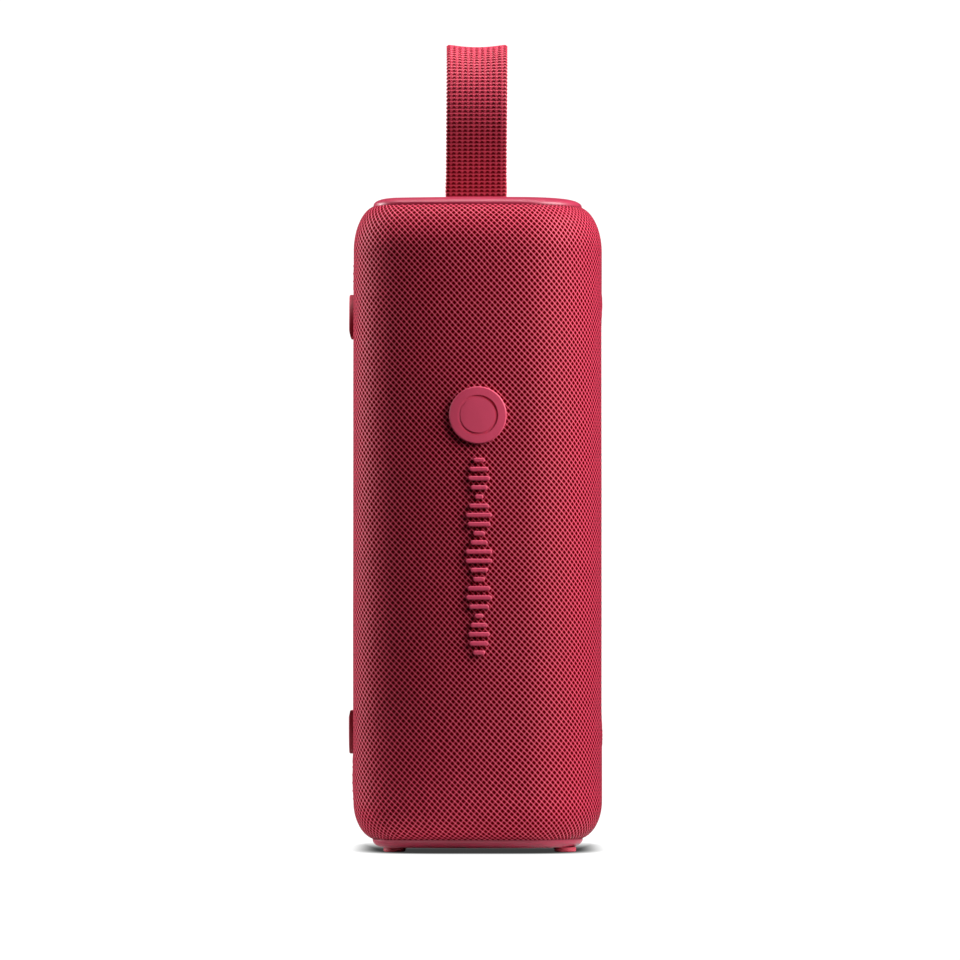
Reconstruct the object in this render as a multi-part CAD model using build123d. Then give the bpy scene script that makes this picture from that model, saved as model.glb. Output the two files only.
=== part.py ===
from build123d import *
import os
from math import cos, pi, radians, sin, sqrt

os.makedirs("parts", exist_ok=True)

# A portable upright speaker. Millimetres, +Z up, the front faces -Y, and the origin is on
# the ground under the middle of the body.

# ---- Body section ---------------------------------------------------------------------
HALF_WIDTH = 40.9
HALF_DEPTH = 36.0
FACE_R = 130.0  # the front and back faces are gently convex
LEFT_R = 17.0
RIGHT_R = 28.0
CREST_X = 3.0  # where the front and back faces stand furthest out

# ---- Heights --------------------------------------------------------------------------
FOOT_H = 1.5
FABRIC_Z0 = 4.2
FABRIC_Z1 = 211.7
RIM_Z = 214.4
RIM_ROUND = (5.6, 2.3)  # how far in and down the rim's outer edge rounds off
BASE_ROUND = (4.0, 2.5)  # the same for the base, in and up
BOTTOM_SOFTEN = (8.4, 12.5, 3.9)  # depth, height and start of the rounded lower edge
TOP_SOFTEN = (8.4, 15.0, 212.15)  # depth, height and end of the rounded upper edge

# ---- Walls ----------------------------------------------------------------------------
FABRIC_T = 1.2
CORE = (1.3, 3.2)  # outer and inner inset of the perforated shell under the fabric
CORE_Z = (5.6, 210.3)
HOUSING = (3.3, 5.5)
HOUSING_Z = (12.0, 204.0)
HOUSING_FLOOR = 2.2
CAP_INSET = 6.6
DISH_INSET = 12.6
BASE_INSET = 6.4
SPIGOT = (8.0, 9.4)
SEAM = 0.5  # half the gasket between the housing halves

# ---- Side strips ----------------------------------------------------------------------
PAD_X = 36.9  # the flat on each side of the housing that carries a strip
CONTROL = {"z": 108.9, "length": 143.8, "width": 21.0, "x": 40.6}
BASE_STRIP = {"z": 107.75, "length": 152.7, "width": 22.0, "x": 40.3}
WINDOW_GAP = 0.25

# ---- Buttons --------------------------------------------------------------------------
BUTTONS = {
    "power_button": (166.0, 4.6),
    "pair_button": (149.0, 4.6),
    "volume_down_button": (131.0, 4.6),
    "play_button": (112.0, 5.6),
    "volume_up_button": (93.0, 4.6),
    "boost_button": (68.0, 5.6),
}
BUTTON_TRAVEL = 0.5
BUTTON_BACK_X = 38.6
BUTTON_TOP_X = 40.7
BUTTON_FLANGE = (0.9, 0.5)  # how far it reaches past the cap, and its thickness
BUTTON_CLEARANCE = 0.2
ICON_H = 0.12
SKIN_X = 39.2  # back of the control panel's outer skin
BOARD_X = (36.95, 37.65)
SWITCH_X = BUTTON_BACK_X - BUTTON_TRAVEL - 0.05
LED_Z = (157.5, 140.0)
MIC_Z = 50.0

# ---- Charging port --------------------------------------------------------------------
DOOR_SIZE = (21.0, 12.0, 1.3)
DOOR_BARREL_R = 1.1
DOOR_BARREL_L = 8.0
DOOR_GAP = 0.25
HINGE_X = -39.2
HINGE_PIN_R = 0.5
HINGE_PIN_L = 13.6
SOCKET = (7.3, 3.2, 8.94)

# ---- Feet -----------------------------------------------------------------------------
FEET_X = (-27.3, 28.6)
FEET_Y = 12.0
BASE_SCREW_X = 27.5
FOOT_SIZE = (7.2, 12.0)
FOOT_CORNER = 3.4
FOOT_SINK = 0.75
FOOT_PEG_R = 2.4
SIDE_FOOT_X = -42.45
SIDE_FOOT_L = 14.3
SIDE_FOOT_SLOPE = (0.45, 2.2)  # across and along its inner end

# ---- Strap ----------------------------------------------------------------------------
STRAP_X = -0.45
STRAP_W = 20.2
STRAP_T = 1.5
STRAP_HINGE_Z = 214.6
LOOP_R = 18.0  # radius of the loop's bend, at the middle of the webbing
LOOP_CENTRE = (10.0, 248.3)  # y and z of the bend's centre
PIN_Z = 207.5
PIN_R = 1.5
TAB_TOP_Z = 212.8

# ---- Drivers --------------------------------------------------------------------------
DRIVER_X = -1.0
WOOFER_Z = 50.0
TWEETER_Z = 178.0
RADIATOR_Z = {"lower": 50.0, "upper": 172.0}
SEAT_Y = 26.0  # the flat that a driver's flange rests on
TWEETER_SEAT_Y = 28.2
FLANGE_R = 23.0
FLANGE_T = 1.6
TWEETER_R = 12.0

# ---- Inside ---------------------------------------------------------------------------
CELL_X = (-12.0, 8.0)
CELL_R = 9.2
CELL_Z = (84.5, 149.5)
HOLDER = (-23.5, 19.5, 11.0, 82.0, 153.0)  # x from, x to, half depth, z from, z to
MAIN_BOARD_X = (24.0, 25.6)
MAIN_BOARD_Z = (84.0, 160.0)
MAIN_BOARD_Y = 13.0
SEAM_SCREW_X = 33.5
SEAM_SCREW_Z = (22.0, 78.0, 134.0, 190.0)
CAP_SCREW = (21.0, 14.0)
LEAD_R = 0.7

# ---- Badge ----------------------------------------------------------------------------
BADGE_R = 9.35
BADGE_Z = 142.5
BADGE_RISE = 1.0
BADGE_ROUND = 0.4
BARS_Z = (64.5, 128.6)
BARS_X = 0.35
BAR_T = 1.5
BAR_COUNT = 22
BAR_LENGTHS = (2.6, 9.1)  # shortest and longest


def save(shape, node):
    """Writes one sub-part as a STEP file named after its node."""
    if isinstance(shape, (list, ShapeList)):
        shape = Compound(children=list(shape))
    export_step(shape, f"parts/{node}.step")


def box(x, y, z):
    """A box from its limits along each axis."""
    middle = Pos((x[0] + x[1]) / 2, (y[0] + y[1]) / 2, (z[0] + z[1]) / 2)
    return middle * Box(x[1] - x[0], y[1] - y[0], z[1] - z[0])


def outline(inset):
    """The body's section, drawn in by an inset: two flat sides, four corners, two faces."""
    half = HALF_WIDTH - inset
    face_y = HALF_DEPTH - FACE_R
    corners = []
    for side, corner_r in ((1, RIGHT_R), (-1, LEFT_R)):
        centre_x = side * (HALF_WIDTH - corner_r)
        lean = (centre_x - CREST_X) / (FACE_R - corner_r)
        flat_y = face_y + (FACE_R - corner_r) * sqrt(1 - lean * lean)
        corners.append((centre_x, flat_y, corner_r - inset, lean))

    def on_face(lean, sign):
        up = sqrt(1 - lean * lean)
        face_r = FACE_R - inset
        return (CREST_X + face_r * lean, sign * (face_y + face_r * up))

    def on_corner(corner, side, sign):
        centre_x, flat_y, r, lean = corner
        across = sqrt((1 + side * lean) / 2)
        along = sqrt(1 - across * across)
        return (centre_x + side * r * across, sign * (flat_y + r * along))

    right, left = corners
    edges = []
    for sign in (1, -1):
        start = (half, sign * right[1])
        edges.append(ThreePointArc(start, on_corner(right, 1, sign), on_face(right[3], sign)))
        crest = (CREST_X, sign * (HALF_DEPTH - inset))
        edges.append(ThreePointArc(on_face(right[3], sign), crest, on_face(left[3], sign)))
        end = (-half, sign * left[1])
        edges.append(ThreePointArc(on_face(left[3], sign), on_corner(left, -1, sign), end))
    edges.append(Line((half, right[1]), (half, -right[1])))
    edges.append(Line((-half, left[1]), (-half, -left[1])))
    return make_face(Wire(edges))


def soften(z):
    """How far the body draws in at a height, from its two rounded ends."""
    depth, height, start = BOTTOM_SOFTEN
    low = min(max((z - start) / height, 0), 1)
    top_depth, top_height, end = TOP_SOFTEN
    high = min(max((end - z) / top_height, 0), 1)
    bottom_inset = depth * (1 - sqrt(1 - (1 - low) ** 2))
    top_inset = top_depth * (1 - sqrt(1 - (1 - high) ** 2))
    return bottom_inset + top_inset


def body(inset, z_from, z_to):
    """The body's form, drawn in by an inset, between two heights."""
    ends = [5.6, 6.8, 9.0, 12.0, 16.4, 197.2, 204.0, 208.0, 210.3]
    levels = [z_from] + [z for z in ends if z_from + 0.3 < z < z_to - 0.3] + [z_to]
    sections = [Pos(0, 0, z) * outline(inset + soften(z)) for z in levels]
    return loft(sections, ruled=True)


def block(inset, z_from, z_to):
    """A straight-sided plate with the body's section."""
    return Pos(0, 0, z_from) * extrude(outline(inset), z_to - z_from)


def strip(spec, grow, x_from, x_to):
    """A long oval on a side of the body, grown by an amount all round."""
    plane = Plane(origin=(x_from, 0, spec["z"]), x_dir=(0, 0, 1), z_dir=(1, 0, 0))
    slot = SlotOverall(spec["length"] + 2 * grow, spec["width"] + 2 * grow)
    return extrude(plane * slot, x_to - x_from)


def along_x(r, x_from, x_to, y, z):
    """A rod along X."""
    return Pos((x_from + x_to) / 2, y, z) * Rot(0, 90, 0) * Cylinder(r, x_to - x_from)


def along_y(r, y_from, y_to, x, z):
    """A rod along Y."""
    return Pos(x, (y_from + y_to) / 2, z) * Rot(90, 0, 0) * Cylinder(r, y_to - y_from)


def along_z(r, z_from, z_to, x, y):
    """A rod along Z."""
    return Pos(x, y, (z_from + z_to) / 2) * Cylinder(r, z_to - z_from)


def turned(points, x, y, z, facing):
    """A round piece from its half section (radius, height), facing along Y."""
    profile = make_face(Polyline(*[(r, 0, h) for r, h in points], close=True))
    solid = revolve(profile, Axis.Z)
    return Plane(origin=(x, y, z), x_dir=(1, 0, 0), z_dir=(0, facing, 0)).location * solid


def half_roll(r_in, r_out, height, x, y, z, facing):
    """A driver's rubber surround: a half round roll between two flat lips."""
    middle = (r_in + r_out) / 2
    roll_r = (r_out - r_in) / 2
    thickness = 0.6
    ring = Pos(middle, height) * (Circle(roll_r) - Circle(roll_r - thickness))
    ring -= Pos(middle, height - roll_r / 2) * Rectangle(2.2 * roll_r, roll_r)
    lip = 1.2
    inner = Pos(r_in - lip / 2 + thickness, height + thickness / 2) * Rectangle(lip, thickness)
    outer = Pos(r_out + lip / 2 - thickness, height + thickness / 2) * Rectangle(lip, thickness)
    profile = Rot(90, 0, 0) * (ring + inner + outer)
    solid = revolve(profile, Axis.Z)
    return Plane(origin=(x, y, z), x_dir=(1, 0, 0), z_dir=(0, facing, 0)).location * solid


def lead(points):
    """A wire along straight runs joined by tangent arcs."""
    corners = [Vector(*p) for p in points]
    radii = []
    for before, corner, after in zip(corners, corners[1:], corners[2:]):
        into = corner - before
        out_of = after - corner
        turn = radians(into.get_angle(out_of))
        radii.append(0.45 * min(into.length, out_of.length) / sqrt((1 - cos(turn)) / (1 + cos(turn))))
    path = FilletPolyline(*corners, radius=radii)
    section = Plane(origin=path @ 0, z_dir=path % 0) * Circle(LEAD_R)
    return sweep(section, path)


# ---- Cloth, shells and housing --------------------------------------------------------
def make_sleeve():
    sleeve = body(0, FABRIC_Z0 + 0.05, FABRIC_Z1) - body(FABRIC_T, FABRIC_Z0, FABRIC_Z1 + 0.1)
    sleeve -= strip(CONTROL, WINDOW_GAP, 30, 50)
    sleeve -= strip(BASE_STRIP, WINDOW_GAP, -50, -30)
    save(sleeve, "fabric_sleeve")


def sound_slots(z, r, facing):
    """Horizontal slots that let the sound of a round driver out."""
    pitch, height = 4.4, 2.4
    rows = int(r / pitch)
    slots = []
    for row in range(-rows, rows + 1):
        half = sqrt(r * r - (row * pitch) ** 2) - 1
        y = (facing * 20, facing * 45)
        low = z + row * pitch - height / 2
        slots.append(box((DRIVER_X - half, DRIVER_X + half), (min(y), max(y)), (low, low + height)))
    return slots


def make_cores():
    z_from, z_to = CORE_Z
    core = body(CORE[0], z_from, z_to) - body(CORE[1], z_from - 0.1, z_to + 0.1)
    core -= strip(CONTROL, WINDOW_GAP, 30, 50)
    core -= strip(BASE_STRIP, WINDOW_GAP, -50, -30)
    split = 0.1
    front = core & box((-50, 50), (-50, -split), (0, 220))
    rear = core & box((-50, 50), (split, 50), (0, 220))
    front -= sound_slots(WOOFER_Z, FLANGE_R - 3, -1) + sound_slots(TWEETER_Z, TWEETER_R - 2, -1)
    for z in RADIATOR_Z.values():
        rear -= sound_slots(z, FLANGE_R - 3, 1)
    save(front, "front_grille_core")
    save(rear, "rear_grille_core")


def driver_seat(z, r, seat_y, facing):
    """The ring that a driver sits on, and what is cut away for it."""
    back = facing * (seat_y - 2.2)
    ring = along_y(r + 2.2, min(back, facing * 32), max(back, facing * 32), DRIVER_X, z)
    seat = facing * seat_y
    pocket = along_y(r + 0.3, min(seat, facing * 50), max(seat, facing * 50), DRIVER_X, z)
    hole_r = r - 1.4
    hole = along_y(hole_r, min(facing * 20, facing * 50), max(facing * 20, facing * 50), DRIVER_X, z)
    return ring, pocket + hole


def make_housing():
    low, high = HOUSING_Z
    outer = body(HOUSING[0], low, high)
    shell = outer - body(HOUSING[1], low + HOUSING_FLOOR, high - HOUSING_FLOOR)
    cuts = []
    seats = [(WOOFER_Z, FLANGE_R, SEAT_Y, -1), (TWEETER_Z, TWEETER_R, TWEETER_SEAT_Y, -1)]
    seats += [(z, FLANGE_R, SEAT_Y, 1) for z in RADIATOR_Z.values()]
    for seat in seats:
        ring, cut = driver_seat(*seat)
        shell += ring & outer
        cuts.append(cut)
    for side in (-1, 1):
        for z in SEAM_SCREW_Z:
            shell += along_y(3.2, -9, 32, side * SEAM_SCREW_X, z) & outer
            cuts.append(along_y(1.15, SEAM, 40, side * SEAM_SCREW_X, z))
            cuts.append(along_y(1.0, -8, SEAM, side * SEAM_SCREW_X, z))
            cuts.append(along_y(2.2, 8, 40, side * SEAM_SCREW_X, z))
    for x in (-18, 14):
        for z in (90, 145):
            shell += along_y(3, HOLDER[2], 32, x, z) & outer
    for x in (-CAP_SCREW[0], CAP_SCREW[0]):
        for y in (-CAP_SCREW[1], CAP_SCREW[1]):
            shell += along_z(2.75, high - 1, 210.4, x, y)
            cuts.append(along_z(0.8, 202.9, 210.4, x, y))
    for x in (-BASE_SCREW_X, BASE_SCREW_X):
        for y in (-FEET_Y, FEET_Y):
            shell += along_z(2.75, 5.9, low + 1, x, y)
            cuts.append(along_z(0.8, 5.9, 13.4, x, y))
    cuts.append(strip(CONTROL, 0.6, PAD_X, 50))
    cuts.append(strip(BASE_STRIP, 0.6, -50, -PAD_X))
    cuts.append(box((-50, -30), (-4, 4), (BASE_STRIP["z"] - 7, BASE_STRIP["z"] + 7)))
    cuts.append(box((30, 50), (7, 9), (95.5, 104.5)))
    for cut in cuts:
        shell -= cut
    save(shell & box((-50, 50), (-50, -SEAM), (0, 220)), "front_housing")
    save(shell & box((-50, 50), (SEAM, 50), (0, 220)), "rear_housing")
    save(shell & box((-50, 50), (-SEAM, SEAM), (0, 220)), "housing_gasket")
    screws = []
    for side in (-1, 1):
        for z in SEAM_SCREW_Z:
            x = side * SEAM_SCREW_X
            screws.append(along_y(1.0, -7.5, 8, x, z) + along_y(1.9, 8, 9.6, x, z))
    save(screws, "housing_screws")


# ---- Caps and feet --------------------------------------------------------------------
def crowned(inset, z_flat, z_end, rounding):
    """A flange whose outer edge rounds off towards its end face."""
    inward, along = rounding
    way = 1 if z_end > z_flat else -1
    sections = [Pos(0, 0, z_flat) * outline(inset)]
    for step in range(9):
        turn = pi / 2 * step / 8
        height = z_end - way * along * (1 - sin(turn))
        sections.append(Pos(0, 0, height) * outline(inset + inward * (1 - cos(turn))))
    return loft(sections, ruled=True)


def make_top():
    cap = crowned(CAP_INSET, FABRIC_Z1 + 0.05, RIM_Z, RIM_ROUND)
    cap += block(SPIGOT[0], 205.5, FABRIC_Z1 + 0.1)
    cap -= block(SPIGOT[1], 200, 210.4)
    cap -= block(DISH_INSET, 212.4, 220)
    for side in (-1, 1):
        cap += box(sorted((side * 11.2, side * 14.2)), (-4, 4), (204.6, 210.5))
    cap -= along_x(PIN_R, -14.2, 14.2, 0, PIN_Z)
    slot = box((-10.9 + STRAP_X, 10.9 + STRAP_X), (-2.1, 2.1), (204, 220))
    cap -= slot
    screws = []
    for x in (-CAP_SCREW[0], CAP_SCREW[0]):
        for y in (-CAP_SCREW[1], CAP_SCREW[1]):
            cap -= along_z(1.0, 204, 220, x, y)
            cap -= along_z(2.1, 211, 220, x, y)
            screws.append(along_z(0.8, 203.4, 211, x, y) + along_z(1.9, 211, 212.3, x, y))
    save(cap, "top_cap")
    save(along_x(PIN_R, -14.0, 14.0, 0, PIN_Z), "strap_pin")
    inlay = block(DISH_INSET + 0.15, 212.45, 213.0)
    inlay -= slot
    save(inlay, "top_inlay")
    return screws


def make_base():
    cap = crowned(BASE_INSET, FABRIC_Z0, FOOT_H, BASE_ROUND)
    cap += block(SPIGOT[0], FABRIC_Z0 - 0.1, 10.0) - block(SPIGOT[1], FABRIC_Z0 - 0.1, 11.0)
    feet = []
    screws = []
    for side, foot_x in zip((-1, 1), FEET_X):
        screw_x = side * BASE_SCREW_X
        for y in (-FEET_Y, FEET_Y):
            cap += along_z(3.0, FABRIC_Z0 - 0.1, 5.85, screw_x, y)
            cap -= along_z(FOOT_PEG_R + 0.05, FOOT_H - 1, FOOT_H + FOOT_SINK + 0.05, screw_x, y)
            cap -= along_z(2.1, FOOT_H, 3.5, screw_x, y)
            cap -= along_z(1.0, FOOT_H, 6, screw_x, y)
            screws.append(along_z(0.8, 3.5, 12.5, screw_x, y) + along_z(1.9, 2.4, 3.5, screw_x, y))
            foot = extrude(RectangleRounded(*FOOT_SIZE, FOOT_CORNER), FOOT_H)
            foot = Pos(foot_x, y, 0) * fillet(foot.edges().group_by(Axis.Z)[0], 0.6)
            feet.append(foot + along_z(FOOT_PEG_R, 1, FOOT_H + FOOT_SINK, screw_x, y))
    save(cap, "base_cap")
    save(feet, "base_feet")
    return screws


# ---- Strap ----------------------------------------------------------------------------
def teardrop(hinge_r, bend_r):
    """A round bend drawn down to a small round end at the strap's bending line."""
    low = Pos(0, STRAP_HINGE_Z) * Circle(hinge_r)
    high = Pos(*LOOP_CENTRE) * Circle(bend_r)
    return make_hull(low.edges() + high.edges())


def across_strap(sketch):
    """Extrudes a side view (y, z) to the webbing's width."""
    plane = Plane(origin=(STRAP_X, 0, 0), x_dir=(0, 1, 0), z_dir=(1, 0, 0))
    return extrude(plane * sketch, STRAP_W / 2, both=True)


def make_strap():
    half = STRAP_T / 2
    hole = teardrop(0.05, LOOP_R - half) - Pos(0, STRAP_HINGE_Z) * Circle(2.6)
    save(across_strap(teardrop(STRAP_T, LOOP_R + half) - hole), "strap_loop")
    wrap = Pos(0, PIN_Z) * Circle(PIN_R + STRAP_T)
    neck = Pos(0, (PIN_Z + TAB_TOP_Z) / 2) * Rectangle(2 * STRAP_T, TAB_TOP_Z - PIN_Z)
    save(across_strap(wrap + neck - Pos(0, PIN_Z) * Circle(PIN_R)), "strap_tab")


# ---- Control panel --------------------------------------------------------------------
def disc_x(r, x_from, x_to, z):
    return along_x(r, x_from, x_to, 0, z)


def icon_bar(z, dz, dy, length, width):
    """A raised bar of an icon, along Y when it is longer than it is high."""
    size = (dy - length / 2, dy + length / 2), (z + dz - width / 2, z + dz + width / 2)
    return box((BUTTON_TOP_X - 0.05, BUTTON_TOP_X + ICON_H), *size)


def icon_arc(z, r, width, start, sweep_angle):
    """A raised arc of an icon, centred on its button."""
    plane = Plane(origin=(BUTTON_TOP_X - 0.05, 0, z), x_dir=(0, 1, 0), z_dir=(1, 0, 0))
    arc = CenterArc((0, 0), r, start, sweep_angle)
    band = trace(arc, width)
    return extrude(plane * band, ICON_H + 0.05)


def icon_wedge(z, size):
    """A raised triangle that points up the panel's length."""
    plane = Plane(origin=(BUTTON_TOP_X - 0.05, 0, z), x_dir=(0, 1, 0), z_dir=(1, 0, 0))
    half, foot, peak = size / 2, -size * 0.42, size * 0.48
    wedge = make_face(Polyline((-half, foot), (half, foot), (0, peak), close=True))
    return extrude(plane * wedge, ICON_H + 0.05)


def button_icon(node, z):
    width = 0.7
    if node == "power_button":
        return [icon_arc(z, 1.9, width, 125, 290), icon_bar(z, 1.5, 0, width, 2.0)]
    if node == "pair_button":
        arcs = [icon_arc(z - 1.6, r, width, 45, 90) for r in (1.3, 2.7)]
        return arcs + [disc_x(0.55, BUTTON_TOP_X - 0.05, BUTTON_TOP_X + ICON_H, z - 1.6)]
    if node == "volume_down_button":
        return [icon_bar(z, 0, 0, 4.2, width)]
    if node == "volume_up_button":
        return [icon_bar(z, 0, 0, 4.2, width) + icon_bar(z, 0, 0, width, 4.2)]
    if node == "play_button":
        bars = [icon_bar(z, dz, 0, 3.0, width) for dz in (-1.1, -2.4)]
        return [icon_wedge(z + 1.5, 3.0)] + bars
    heights = (2.2, 4.4, 3.2)
    return [icon_bar(z, 0, 1.5 * (i - 1), width, h) for i, h in enumerate(heights)]


def make_controls():
    panel = strip(CONTROL, 0, PAD_X, CONTROL["x"])
    panel = fillet(panel.edges().group_by(Axis.X)[-1], 0.4)
    panel -= strip(CONTROL, -2.2, 30, SKIN_X)
    board = strip(CONTROL, -2.6, *BOARD_X)
    switches = []
    for node, (z, r) in BUTTONS.items():
        reach, flange_t = BUTTON_FLANGE
        panel -= disc_x(r + BUTTON_CLEARANCE, 30, 50, z)
        cap = disc_x(r, BUTTON_BACK_X, BUTTON_TOP_X, z)
        cap = fillet(cap.edges().group_by(Axis.X)[-1], 0.3)
        cap += disc_x(r + reach, BUTTON_BACK_X, BUTTON_BACK_X + flange_t, z)
        for mark in button_icon(node, z):
            cap += mark
        save(cap, node)
        dome = box((BOARD_X[1], SWITCH_X - 0.1), (-2, 2), (z - 2, z + 2))
        switches.append(dome + disc_x(1.0, SWITCH_X - 0.1, SWITCH_X, z))
    lights = []
    for z in LED_Z:
        panel -= disc_x(0.8, 30, 50, z)
        lights.append(disc_x(0.8, BOARD_X[1], CONTROL["x"], z))
    panel -= disc_x(0.5, 30, 50, MIC_Z)
    save(panel, "control_panel")
    save(board, "button_board")
    save(switches, "button_switches")
    save(lights, "status_lights")
    microphone = box((BOARD_X[1], 38.65), (-1.5, 1.5), (MIC_Z - 2, MIC_Z + 2))
    save(microphone - disc_x(0.3, 38.0, 38.65, MIC_Z), "microphone")


# ---- Base strip, side feet and charging port ------------------------------------------
def make_base_strip():
    z_mid = BASE_STRIP["z"]
    face_x = -BASE_STRIP["x"]
    panel = strip(BASE_STRIP, 0, face_x, -PAD_X - 0.05)
    panel = fillet(panel.edges().group_by(Axis.X)[0], 0.4)
    length, width, thickness = DOOR_SIZE
    door_low = z_mid - length / 2
    hinge_z = door_low + DOOR_BARREL_R
    door_plane = Plane(origin=(face_x, 0, z_mid), x_dir=(0, 0, 1), z_dir=(1, 0, 0))
    pocket = RectangleRounded(length + 2 * DOOR_GAP, width + 2 * DOOR_GAP, 3)
    panel -= extrude(door_plane * pocket, thickness + 0.2)
    barrel_half = DOOR_BARREL_L / 2
    side = width / 2
    swing_room = (hinge_z - 1.4, hinge_z + 3)
    panel -= box((face_x - 1, face_x + thickness + 0.2), (-side - DOOR_GAP, side + DOOR_GAP), swing_room)
    panel -= box((face_x, -37.9), (-barrel_half - 0.2, barrel_half + 0.2), (hinge_z - 1.4, hinge_z + 1.4))
    panel -= along_y(HINGE_PIN_R, -HINGE_PIN_L / 2, HINGE_PIN_L / 2, HINGE_X, hinge_z)
    mouth = Plane(origin=(-42, 0, z_mid), x_dir=(0, 0, 1), z_dir=(1, 0, 0)) * SlotOverall(10.6, 4.8)
    panel -= extrude(mouth, 6)
    save(panel, "base_strip")

    plate = extrude(door_plane * RectangleRounded(length, width, 2.75), thickness)
    plate = fillet(plate.edges().group_by(Axis.X)[0], 0.3)
    plate += box((face_x + 0.05, face_x + thickness), (-side, side), (hinge_z, z_mid))
    keep = box((-45, -30), (-20, 20), (hinge_z, 150))
    door = (plate & keep) + along_y(DOOR_BARREL_R, -barrel_half, barrel_half, HINGE_X, hinge_z)
    door -= along_y(HINGE_PIN_R + 0.05, -20, 20, HINGE_X, hinge_z)
    door -= box((face_x - 1, face_x + 0.5), (-3, 3), (z_mid + length / 2 - 1.2, 150))
    save(door, "port_door")
    pin_half = HINGE_PIN_L / 2 - 0.1
    save(along_y(HINGE_PIN_R, -pin_half, pin_half, HINGE_X, hinge_z), "port_hinge_pin")

    foot_row = strip(BASE_STRIP, -0.5, SIDE_FOOT_X, face_x)
    foot_row = fillet(foot_row.edges().group_by(Axis.X)[0], 0.5)
    feet = []
    for end in (-1, 1):
        tip = z_mid + end * (BASE_STRIP["length"] / 2 - 0.5)
        inner = tip - end * SIDE_FOOT_L
        foot = foot_row & box((-50, -30), (-20, 20), sorted((inner, tip + end)))
        across, along = SIDE_FOOT_SLOPE
        slope = [(SIDE_FOOT_X, 0, inner), (SIDE_FOOT_X, 0, inner + end * along)]
        wedge = make_face(Polyline(*slope, (SIDE_FOOT_X + across, 0, inner), close=True))
        foot -= extrude(wedge, 20, dir=(0, 1, 0), both=True)
        feet.append(foot)
    save(feet, "side_feet")


def make_port():
    z_mid = BASE_STRIP["z"]
    length, width, height = SOCKET
    mouth_x = -38.0
    plane = Plane(origin=(mouth_x, 0, z_mid), x_dir=(0, 0, 1), z_dir=(1, 0, 0))
    socket = extrude(plane * SlotOverall(height, width), length)
    hollow = extrude(plane * SlotOverall(height - 0.7, width - 0.7), length - 0.8)
    tongue = box((mouth_x + 0.8, mouth_x + length - 0.5), (-0.35, 0.35), (z_mid - 3.3, z_mid + 3.3))
    save(socket - hollow + tongue, "usb_socket")
    seal = box((-PAD_X, -35.4), (-4, 4), (z_mid - 7, z_mid + 7))
    seal -= extrude(plane * SlotOverall(height, width), length)
    save(seal, "port_seal")
    board = box((-35.2, -26.0), (width / 2, width / 2 + 1.0), (z_mid - 8, z_mid + 8))
    save(board, "usb_board")


# ---- Drivers --------------------------------------------------------------------------
def make_woofer():
    place = (DRIVER_X, -SEAT_Y, WOOFER_Z, -1)
    basket = [(20.5, 1.6), (23, 1.6), (23, 0), (21.4, 0), (14.2, -12.2), (8.8, -12.2)]
    basket += [(8.8, -11.0), (13.4, -11.0), (20.5, -0.2)]
    magnet = [(0, -12.3), (6.6, -12.3), (6.6, -19.5), (8.6, -19.5), (8.6, -12.3)]
    magnet += [(15, -12.3), (15, -22.3), (0, -22.3)]
    cone = [(0, -5.4), (4.5, -6.4), (7.6, -8.0), (15.2, 0.6), (16, 0.6), (16, 0.0)]
    cone += [(8.0, -9.2), (8.0, -16.0), (7.1, -16.0), (7.1, -9.0), (4.3, -7.2), (0, -6.2)]
    save(turned(basket, *place), "woofer_basket")
    save(turned(magnet, *place), "woofer_magnet")
    save(turned(cone, *place), "woofer_cone")
    save(half_roll(15.8, 20.8, 1.65, *place), "woofer_surround")


def make_tweeter():
    place = (DRIVER_X, -TWEETER_SEAT_Y, TWEETER_Z, -1)
    frame = [(8.4, 1.4), (12, 1.4), (12, 0), (10.4, 0), (10.4, -6), (9.4, -6), (9.4, -0.2), (8.4, -0.2)]
    magnet = [(0, -1.4), (5.2, -1.4), (5.2, -5), (7, -5), (7, -1.4), (9.3, -1.4), (9.3, -8), (0, -8)]
    dome = [(0, 2.0), (3.2, 1.5), (5.4, 0.3), (6.5, -0.6), (6.5, -3.9), (5.8, -3.9)]
    dome += [(5.8, -0.7), (5.0, -0.1), (3.0, 1.0), (0, 1.5)]
    suspension = [(6.6, -1.0), (8.35, -1.0), (8.35, -0.6), (6.6, -0.6)]
    save(turned(frame, *place), "tweeter_frame")
    save(turned(magnet, *place), "tweeter_magnet")
    save(turned(dome, *place), "tweeter_dome")
    save(turned(suspension, *place), "tweeter_suspension")


def make_radiators():
    frames = []
    surrounds = []
    for name, z in RADIATOR_Z.items():
        place = (DRIVER_X, SEAT_Y, z, 1)
        frame = [(20.5, 1.6), (23, 1.6), (23, 0), (21.4, 0), (21.4, -3), (20.5, -3)]
        plate = [(0, 1.0), (16, 1.0), (16, 0.2), (9, 0.2), (9, -2.2), (0, -2.2)]
        frames.append(turned(frame, *place))
        surrounds.append(half_roll(15.8, 20.8, 1.65, *place))
        save(turned(plate, *place), f"{name}_radiator_plate")
    save(frames, "radiator_frames")
    save(surrounds, "radiator_surrounds")


# ---- Battery, board and leads ---------------------------------------------------------
def make_battery():
    x_from, x_to, half_depth, z_from, z_to = HOLDER
    holder = box((x_from, x_to), (-half_depth, half_depth), (z_from, z_to))
    cells = []
    for x in CELL_X:
        holder -= along_z(CELL_R + 0.1, *CELL_Z, x, 0)
        top_cap = along_z(3.0, CELL_Z[1], CELL_Z[1] + 1.2, x, 0)
        holder -= along_z(3.1, CELL_Z[1], CELL_Z[1] + 1.3, x, 0)
        cells.append(along_z(CELL_R, *CELL_Z, x, 0) + top_cap)
    holder -= box((x_from + 3, x_to - 3), (-half_depth, -5), (z_from + 6, z_to - 6))
    save(holder, "battery_holder")
    save(cells, "battery_cells")


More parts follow.
